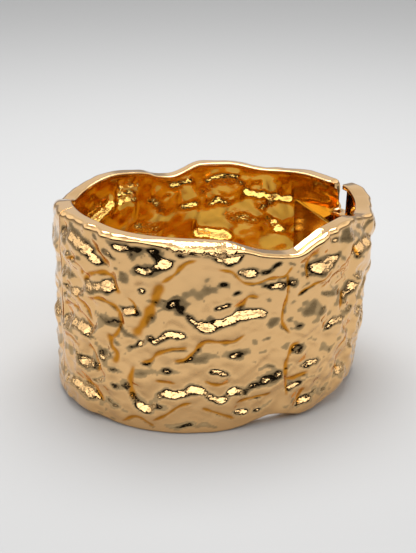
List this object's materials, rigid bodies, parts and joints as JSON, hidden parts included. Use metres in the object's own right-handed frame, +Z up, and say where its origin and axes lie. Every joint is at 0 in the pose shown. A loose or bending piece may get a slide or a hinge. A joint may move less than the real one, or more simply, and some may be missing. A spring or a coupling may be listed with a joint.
{
  "type": "hinged cuff bracelet",
  "caption": "Oval hinged cuff bracelet: cast half shells with a crumpled molten relief, wavy flat rims, a pinned hinge and a flat spring cover plate inside.",
  "frame": {"origin": "middle of the oval at the table, where the lower rim rests", "axes": "+X towards the hinge, along the oval's length; -X towards the closing seam; -Y the half that the picture shows from outside; +Z up, along the way the wrist goes through"},
  "size_m": [0.0672, 0.0577, 0.0397],
  "materials": {
    "front_shell_gold_plate": "polished gold plate on cast zinc alloy",
    "rear_shell_gold_plate": "polished gold plate on cast zinc alloy",
    "hinge_pin_gold_plate": "gold plate on a steel pin",
    "spring_plate_gold_plate": "gold plate on sheet metal"
  },
  "bodies": {
    "front_half": {"front_shell": "front_shell_gold_plate", "hinge_pin": "hinge_pin_gold_plate"},
    "rear_half": {"rear_shell": "rear_shell_gold_plate", "spring_plate": "spring_plate_gold_plate"}
  },
  "joints": [
    {"name": "cuff_hinge", "type": "hinge", "parent": "front_half", "child": "rear_half", "pos_m": [0.0305, 0.0043, 0.019], "axis": [0, 0, -1], "range_deg": [0, 50], "stiffness_Nm_per_rad": 0.1, "springref_deg": -51.57}
  ]
}
